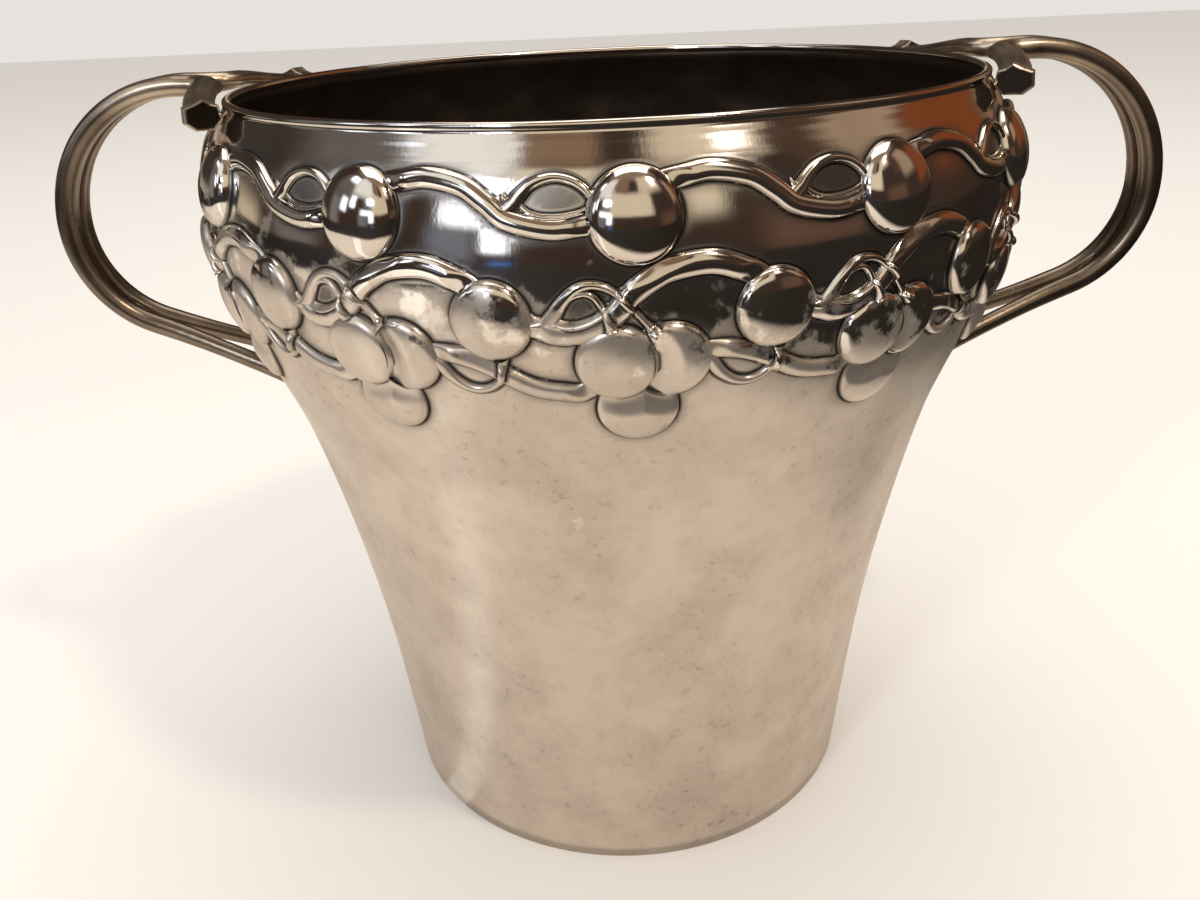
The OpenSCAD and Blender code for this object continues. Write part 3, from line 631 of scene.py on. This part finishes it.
def handleLines():
    # centre lines of one rail (front, +X side) and of the rib, in millimetres, as the casting runs
    h = handle
    filletY = h["railGap"] + h["fillet"]
    filletTurn = math.asin(filletY / (h["armR"] + h["fillet"]))
    filletX = (h["armR"] + h["fillet"]) * math.cos(filletTurn)
    bend = filletX + h["topRun"]
    upR = h["reach"] - bend
    lowX = h["reach"] - h["lowBend"]
    arm0, turnDown = math.radians(h["armTurn"]), math.radians(h["lowTurn"])
    arm = [(h["armR"] * math.cos(a), -h["armR"] * math.sin(a), h["armZ"] - h["armDrop"] * float(ease(1 - t)))
           for a, t in zip(np.linspace(arm0, filletTurn, 9), np.linspace(0, 1, 9))]
    curve = [(filletX + h["fillet"] * math.cos(a), h["fillet"] * math.sin(a) - filletY, h["armZ"])
             for a in np.linspace(math.pi - filletTurn, math.pi / 2, 7)[1:]]
    up = [(bend + upR * math.cos(a), 0, h["reachZ"] + upR * math.sin(a))
          for a in np.linspace(math.pi / 2, 0, 26)]
    down = [(lowX + h["lowBend"] * math.cos(a), 0, h["reachZ"] + h["lowBend"] * math.sin(a))
            for a in np.linspace(0, -turnDown, 16)[1:]]
    strap = np.array(up + down)
    legX, legZ = strap[-1, 0], strap[-1, 2]
    run = (legX - h["forkR"]) / math.sin(turnDown)
    fork = np.array([(legX - t * run * math.sin(turnDown), -h["railGap"] - h["forkSpread"] * float(ease(t)),
                      legZ - t * run * math.cos(turnDown)) for t in np.linspace(0, 1, 14)[1:]])
    front = strap.copy()
    front[:, 1] = -h["railGap"]
    return np.concatenate([arm, curve, front, fork]), strap, fork[-1]


def tube(line, radius, sides=20):
    # closed round tube along a line, with its own radius at each point
    n = len(line)
    way = np.gradient(line, axis=0)
    way /= np.linalg.norm(way, axis=1)[:, None]
    side = np.cross(way, [0.0, 0.28, 0.96])
    side /= np.linalg.norm(side, axis=1)[:, None]
    other = np.cross(way, side)
    phi = np.linspace(0, 2 * math.pi, sides, endpoint=False)
    ring = side[:, None] * np.cos(phi)[None, :, None] + other[:, None] * np.sin(phi)[None, :, None]
    points = line[:, None] + ring * np.asarray(radius)[:, None, None]
    faces = [list(f) for f in gridFaces(n, sides, True)]
    points = points.reshape(-1, 3)
    for k in range(1, sides - 1, 2):
        faces.append([0, k, k + 1, (k + 2) % sides if k + 2 < sides else 0][::-1])
        last = (n - 1) * sides
        faces.append([last, last + k, last + k + 1, last + k + 2 if k + 2 < sides else last])
    return points, np.array(faces)


def remeshed(name, parts, voxel, smooth):
    # one skin round overlapping parts, as a casting runs together where its strands meet
    points, faces, count = [], [], 0
    for p, f in parts:
        points.append(p)
        faces.append(f + count)
        count += len(p)
    raw = makeMesh(name + "Raw", np.concatenate(points), np.concatenate(faces))
    skin = raw.modifiers.new("skin", "REMESH")
    skin.mode, skin.voxel_size, skin.use_smooth_shade = "VOXEL", voxel * mm, True
    soft = raw.modifiers.new("soft", "SMOOTH")
    soft.factor, soft.iterations = 0.5, smooth
    done = raw.evaluated_get(bpy.context.evaluated_depsgraph_get())
    mesh = bpy.data.meshes.new_from_object(done)
    mesh.name = name
    bpy.data.objects.remove(raw)
    piece = bpy.data.objects.new(name, mesh)
    bpy.context.scene.collection.objects.link(piece)
    return piece


def coordinates(mesh):
    co = np.zeros(len(mesh.vertices) * 3, np.float32)
    mesh.vertices.foreach_get("co", co)
    return co.reshape(-1, 3).astype(float) / mm


def markRidges(piece, gain):
    # ridges and the rim arms are where hands rub, and they get a painted highlight as well; hollows are where
    # patina stays,
    # and they get painted shade as well: from how the surface bends
    mesh = piece.data
    co = coordinates(mesh)
    edges = np.zeros(len(mesh.edges) * 2, np.int32)
    mesh.edges.foreach_get("vertices", edges)
    edges = edges.reshape(-1, 2)
    normal = np.zeros(len(co) * 3, np.float32)
    mesh.vertices.foreach_get("normal", normal)
    normal = normal.reshape(-1, 3)
    degree = np.bincount(edges.ravel(), minlength=len(co))[:, None].clip(1)

    def spread(values):
        total = np.zeros_like(values)
        np.add.at(total, edges[:, 0], values[edges[:, 1]])
        np.add.at(total, edges[:, 1], values[edges[:, 0]])
        return total / degree
    bend = ((co - spread(co)) * normal).sum(1, keepdims=True)
    for _ in range(8):
        bend = spread(bend)
    bend = bend.ravel() * gain
    # painted highlight with wear on the ridges, and everything above about 193 mm, the rim arms, painted
    # lighter
    mesh.attributes.new("rubbedAndHighlight", "FLOAT", "POINT").data.foreach_set(
        "value", np.clip(0.06 + bend + 0.34 * ease((co[:, 2] - 193) / 6), 0, 1).astype(np.float32))
    # painted shade with patina in the hollows
    mesh.attributes.new("patinaAndShade", "FLOAT", "POINT").data.foreach_set(
        "value", np.clip(-0.08 - bend * 1.6, 0, 1).astype(np.float32))


def handlePiece(name, side):
    h = handle
    rail, strap, foot = handleLines()
    radius = np.full(len(rail), h["rail"])
    radius[:h["armPoints"]] = np.linspace(h["armTip"], h["rail"], h["armPoints"])
    radius[-13:] *= np.array([1, 0.98, 0.95, 0.92, 0.9, 0.89, 0.89, 0.9, 0.93, 0.98, 1.06, 1.2, 1.4])
    # low foot that the strand leaves on the wall below it
    down = np.linspace(0, 1, h["footPoints"])
    footZ = np.linspace(foot[2] + 3, h["footZ"], h["footPoints"])
    spreadAngle = math.atan2(-foot[1], h["footR"])
    footAngle = spreadAngle + 0.012 * down
    footR = wallR(footZ) + 0.1
    footLine = np.column_stack([footR * np.cos(footAngle), -footR * np.sin(footAngle), footZ])
    footSize = h["footSize"] * (1 - down ** 1.3) + 0.35
    parts = []
    for flip in (1, -1):
        turned = rail * [1, flip, 1]
        parts.append(tube(turned, radius))
        # the rim arm is broader than the rails, with a flute along its top
        arm = turned[:h["armPoints"]]
        outward = arm[:, :2] / np.linalg.norm(arm[:, :2], axis=1)[:, None]
        for shift in h["armSides"]:
            beside = arm.copy()
            beside[:, :2] += outward * shift
            parts.append(tube(beside, h["armSide"] * np.linspace(1, 0.75, len(arm))))
        parts.append(tube(footLine * [1, flip, 1], footSize))
    fade = np.ones(len(strap))
    fade[-10:] = np.linspace(1, 0.15, 10)
    parts.append(tube(strap, h["rib"] * fade))
    inner = strap.copy()
    centre = np.array([h["reach"] - 30, 0, h["reachZ"]])
    inward = centre - inner
    inner += inward / np.linalg.norm(inward, axis=1)[:, None] * h["ridgeIn"]
    for shift in (-h["ridgeGap"], h["ridgeGap"]):
        parts.append(tube(inner + [0, shift, 0], h["ridge"] * fade))
    piece = remeshed(name, parts, h["voxel"], h["smooth"])
    co = coordinates(piece.data)
    r = np.hypot(co[:, 0], co[:, 1])
    least = wallR(np.clip(co[:, 2], 0, sheet["top"])) - h["footSink"]
    inside = (r < least) & (co[:, 2] < 190)
    scale = np.where(inside, least / r, 1)
    co[:, :2] *= scale[:, None]
    co[:, 0] *= side
    piece.data.vertices.foreach_set("co", (co * mm).astype(np.float32).ravel())
    if side < 0:
        piece.data.flip_normals()
    piece.data.update()
    markRidges(piece, h["ridgeGain"])
    return piece


def block(corners, depth, angle, centreR, z):
    # bevelled block: a profile across the rim (radial, height), drawn out round the rim; both in millimetres
    n = len(corners)
    profile = np.array(corners, float)
    middle = profile.mean(0)
    rows = []
    for back, shrink in ((0, 0.82), (0.35, 0.97), (0.8, 1), (depth - 0.5, 1), (depth, 0.9)):
        rows.append((back, middle + (profile - middle) * shrink))
    points = []
    for back, shape in rows:
        a = angle + back / centreR
        for across, up in shape:
            points.append(((centreR + across) * math.cos(a), (centreR + across) * math.sin(a), z + up))
    faces = [list(f) for f in gridFaces(len(rows), n, True)]
    return np.array(points), faces, n, len(rows)


# outlines as (out from the rim arm's middle, height), how long each runs round the rim, and where it starts;
# the rows of a block, from its cut end backwards, get edge wear with a painted highlight on the bevel, and
# painted shade on the cut end
lugs = {
    "end": {"corners": [(-3.9, -1.3), (-3.6, 1.7), (-1.9, 2.2), (-0.4, 3.3), (1.6, 2.4), (4.0, 1.6),
                        (4.3, -1.6), (2.3, -3.2), (-1.9, -3.3)], "depth": 5.4, "shift": 0.0},
    "pad": {"corners": [(-7.3, -6.4), (-7.0, 0.4), (-5.6, 1.1), (-4.0, -0.4), (-4.2, -4.3), (-5.5, -6.8)],
            "depth": 3.6, "shift": 0.012},
    "before": 1.4, "sink": 0.6, "edgeWearAndHighlight": (0, 1.0, 0.8, 0.25, 0.25), "cutEndShade": (0.45, 0.05, 0, 0, 0),
}


def lugPiece(name, side, front):
    # cut end of a rim arm, with the little faceted pad that ties it to the collar
    points, faces, rubbedAndHighlight, patinaAndShade, count = [], [], [], [], 0
    start = -math.radians(handle["armTurn"] + lugs["before"])
    height = handle["armZ"] - handle["armDrop"]
    for shape in (lugs["end"], lugs["pad"]):
        angle = start + shape["shift"]
        p, f, n, rows = block(shape["corners"], shape["depth"], angle, handle["armR"], height)
        f = [[v + count for v in q] for q in f]
        first, last = list(range(count, count + n)), list(range(count + (rows - 1) * n, count + rows * n))
        f += [first[::-1], last]
        points.append(p)
        faces += f
        # the bevel rows are painted lighter, edge wear with a painted highlight, and the cut end darker as
        # painted shade
        rubbedAndHighlight += [v for v in lugs["edgeWearAndHighlight"] for _ in range(n)]
        patinaAndShade += [v for v in lugs["cutEndShade"] for _ in range(n)]
        count += len(p)
    points = np.concatenate(points)
    # the pad sits in the collar's face and stops inside the sheet's thickness
    r = np.hypot(points[:, 0], points[:, 1])
    least = wallR(np.minimum(points[:, 2], sheet["top"])) - lugs["sink"]
    points[:, :2] *= np.maximum(1, least / r)[:, None]
    points *= [side, 1 if front else -1, 1]
    mesh = bpy.data.meshes.new(name)
    flip = (side < 0) == front
    mesh.from_pydata((points * mm).tolist(), [], [q if flip else q[::-1] for q in faces])
    mesh.update()
    mesh.attributes.new("rubbedAndHighlight", "FLOAT", "POINT").data.foreach_set("value", rubbedAndHighlight)
    mesh.attributes.new("patinaAndShade", "FLOAT", "POINT").data.foreach_set("value", patinaAndShade)
    piece = bpy.data.objects.new(name, mesh)
    bpy.context.scene.collection.objects.link(piece)
    return piece


print("handles")
dark = "dark_cast_metal"
for sideName, side in (("left", -1), ("right", 1)):
    place(handlePiece(sideName + "HandleCasting", side), patina, dark, sideName + "_handle")
    for endName, front in (("front", True), ("back", False)):
        place(lugPiece(sideName + endName.capitalize() + "Block", side, front), patina, dark,
              sideName + "_" + endName + "_lug")

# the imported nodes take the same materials; the base disc shows as it is, and pieces stand for the rest
for name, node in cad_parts.items():
    node.data.materials.clear()
    node.data.materials.append(oxide if name == "base_disc" else patina if "handle" in name or "lug" in name
                               else mirrorPlate)

print("floor, camera and light")
# metres and degrees: from the mirrored table's middle to the origin, where its soft edge begins and ends
# from that middle, and the pale strip's direction (0 is the back) and half width
mirroredTable = {"shift": (0.36, -0.12, 0), "edge": (0.53, 0.64), "strip": (-128, 5)}
floorMaterial, floorTree, floorShader = newMaterial("paleFloor")
floorShader.inputs["Roughness"].default_value = 0.8
floorShader.inputs["Specular IOR Level"].default_value = 0.2
# the metal mirrors a table top that ends in a dim room, while the floor itself stays pale
table = addNode(floorTree, "VectorMath", {"operation": "ADD", 1: mirroredTable["shift"]},
                {0: addNode(floorTree, "TexCoord").outputs["Object"]})
tableEdge = addNode(floorTree, "VectorMath", {"operation": "LENGTH"}, {0: table.outputs["Vector"]})
beyond = addNode(floorTree, "MapRange",
                 {"interpolation_type": "SMOOTHSTEP", "From Min": mirroredTable["edge"][0],
                  "From Max": mirroredTable["edge"][1]},
                 {"Value": tableEdge.outputs["Value"]})
# a paler strip of the table, left of the foot, that stands in the satin wall as an upright streak
floorAxes = addNode(floorTree, "SeparateXYZ", {}, {0: addNode(floorTree, "TexCoord").outputs["Object"]})
across = addNode(floorTree, "Math", {"operation": "ARCTAN2"},
                 {0: floorAxes.outputs["X"], 1: floorAxes.outputs["Y"]})
aside = addNode(floorTree, "Math", {"operation": "COMPARE", 1: math.radians(mirroredTable["strip"][0]),
                                    2: math.radians(mirroredTable["strip"][1])},
                {0: across.outputs["Value"]})
tableTop = addNode(floorTree, "MixRGB", {"Color1": colour("#d9cec1"), "Color2": colour("#fffaf2")},
                   {"Fac": aside.outputs["Value"]})
mirroredFloor = addNode(floorTree, "MixRGB", {"Color2": colour("#1c1713")},
                        {"Fac": beyond.outputs["Result"], "Color1": tableTop.outputs["Color"]})
floorTint = addNode(floorTree, "MixRGB", {"Color1": colour("#efebe6")},
                    {"Fac": addNode(floorTree, "LightPath").outputs["Is Glossy Ray"],
                     "Color2": mirroredFloor.outputs["Color"]})
floorTree.links.new(floorTint.outputs["Color"], floorShader.inputs["Base Color"])
floorMesh = bpy.data.meshes.new("floor")
floorMesh.from_pydata([(-4, -4, 0), (4, -4, 0), (4, 4, 0), (-4, 4, 0)], [], [(0, 1, 2, 3)])
floor = bpy.data.objects.new("floor", floorMesh)
bpy.context.scene.collection.objects.link(floor)
floor.data.materials.append(floorMaterial)

view = {"place": (-0.0044, -0.2745, 0.2226), "down": 25.24, "roll": -2.57, "yaw": -0.19, "lens": 30.29}


def aimCamera():
    down, roll, yaw = (math.radians(view[k]) for k in ("down", "roll", "yaw"))
    forward = Vector((math.sin(yaw) * math.cos(down), math.cos(yaw) * math.cos(down), -math.sin(down)))
    right = Vector((math.cos(yaw), -math.sin(yaw), 0))
    up = right.cross(forward)
    rolledRight = math.cos(roll) * right + math.sin(roll) * up
    rolledUp = -math.sin(roll) * right + math.cos(roll) * up
    data = bpy.data.cameras.new("camera")
    data.lens, data.sensor_width, data.clip_start = view["lens"], 36, 0.01
    camera = bpy.data.objects.new("camera", data)
    bpy.context.scene.collection.objects.link(camera)
    camera.matrix_world = Matrix((
        (rolledRight.x, rolledUp.x, -forward.x, view["place"][0]),
        (rolledRight.y, rolledUp.y, -forward.y, view["place"][1]),
        (rolledRight.z, rolledUp.z, -forward.z, view["place"][2]),
        (0, 0, 0, 1)))
    bpy.context.scene.camera = camera


aimCamera()


def softLight(name, spot, aim, wide, tall, power, tint="#ffffff"):
    data = bpy.data.lights.new(name, "AREA")
    data.shape, data.size, data.size_y = "RECTANGLE", wide, tall
    data.energy, data.color = power, colour(tint)[:3]
    lamp = bpy.data.objects.new(name, data)
    lamp.location = spot
    lamp.rotation_euler = (Vector(aim) - Vector(spot)).to_track_quat("-Z", "Y").to_euler()
    bpy.context.scene.collection.objects.link(lamp)
    return lamp


softLight("windowLeft", (-0.62, -0.95, 0.78), (0, 0, 0.15), 0.16, 0.12, 3, "#e8f0ff")
softLight("ceilingLamp", (0.41, -0.43, 1.08), (0, 0, 0.15), 0.1, 0.1, 3, "#fff0dc")
softLight("topSoft", (0.0, 0.5, 1.9), (0, 0, 0.1), 1.4, 1.4, 12, "#fff8ef")

# the room that the metal mirrors: dim, with a pale wall, a cool window and a warm door, by direction.
# azimuth from, to (0 is the front, + to the right), elevation from, to, softness, colour, strength; degrees
room = [
    (-180, 180, -90, 90, 1, "#382b23", 1.1),
    (-30, 30, 14, 44, 4, "#d2c2a9", 1.1),
    (-180, 180, 62, 90, 8, "#8d7a68", 1.0),
    (-152, -108, -9, 3, 4, "#b7a690", 1.15),
    (-150, -104, 4, 30, 5, "#38322e", 1.1),
    (-102, -66, 24, 54, 9, "#67615e", 1.0),
    (-68, -30, 34, 64, 6, "#dad6d2", 1.3),
    (-30, -4, 46, 66, 5, "#7d644e", 1.2),
    (14, 53, 42, 66, 5, "#c8b69f", 1.2),
    (38, 49, 48, 60, 3, "#fff6e8", 2.4),
    (57, 70, 26, 56, 4, "#493529", 1.1),
    (71, 96, 20, 50, 5, "#967f69", 1.1),
    (97, 127, 6, 36, 5, "#733c20", 1.15),
    (128, 152, -10, 22, 5, "#7d6247", 1.1),
    (40, 70, -2, 14, 6, "#5b4436", 1.1),
    (-50, -37, -2, 11, 3, "#6d7078", 1.1),
    (-34, -27, 3, 17, 1.5, "#f3f7ff", 2.2),
    (-32, -26, -7, -1, 1.2, "#3f7fd0", 1.1),
    (-66, -58, 19, 32, 2, "#eef3ff", 2.6),
    (-89, -68, 43, 54, 3, "#e9eefa", 1.9),
    (-82, -71, 12, 26, 2.5, "#e9eefa", 1.9),
    (-47, -29, 12, 19, 2, "#f3f7ff", 1.9),
    (-100, -84, -4, 22, 5, "#75706c", 1.1),
]


def buildWorld():
    world = bpy.data.worlds.new("room")
    bpy.context.scene.world = world
    world.use_nodes = True
    tree = world.node_tree
    tree.nodes.clear()
    axes = addNode(tree, "SeparateXYZ", {}, {0: addNode(tree, "TexCoord").outputs["Generated"]})
    back = addNode(tree, "Math", {"operation": "MULTIPLY", 1: -1}, {0: axes.outputs["Y"]})
    azimuth = addNode(tree, "Math", {"operation": "ARCTAN2"},
                      {0: axes.outputs["X"], 1: back.outputs["Value"]})
    elevation = addNode(tree, "Math", {"operation": "ARCSINE"}, {0: axes.outputs["Z"]})

    def ramp(socket, low, high):
        limits = {"interpolation_type": "SMOOTHSTEP", "From Min": math.radians(low),
                  "From Max": math.radians(high)}
        return addNode(tree, "MapRange", limits, {"Value": socket}).outputs["Result"]

    def times(a, b):
        return addNode(tree, "Math", {"operation": "MULTIPLY"}, {0: a, 1: b}).outputs["Value"]

    mix = None
    for left, right, low, high, soft, tint, strength in room:
        shade = [v * strength for v in colour(tint)[:3]] + [1]
        if mix is None:
            mix = addNode(tree, "RGB").outputs["Color"]
            mix.default_value = shade
            continue
        sides = [] if left <= -180 else [ramp(azimuth.outputs["Value"], left - soft, left + soft),
                                         ramp(azimuth.outputs["Value"], right + soft, right - soft)]
        mask = times(ramp(elevation.outputs["Value"], low - soft, low + soft),
                     ramp(elevation.outputs["Value"], high + soft, high - soft))
        for s in sides:
            mask = times(mask, s)
        mix = addNode(tree, "MixRGB", {"Color2": shade}, {"Fac": mask, "Color1": mix}).outputs["Color"]
    mirrored = addNode(tree, "Background", {}, {"Color": mix})
    plain = addNode(tree, "Background", {"Color": colour("#f1eeea"), "Strength": 0.9})
    path = addNode(tree, "LightPath")
    choose = addNode(tree, "MixShader", {}, {0: path.outputs["Is Glossy Ray"], 1: plain.outputs["Background"],
                                             2: mirrored.outputs["Background"]})
    output = addNode(tree, "OutputWorld")
    tree.links.new(choose.outputs["Shader"], output.inputs["Surface"])


buildWorld()
bpy.context.scene.view_settings.view_transform = "Standard"
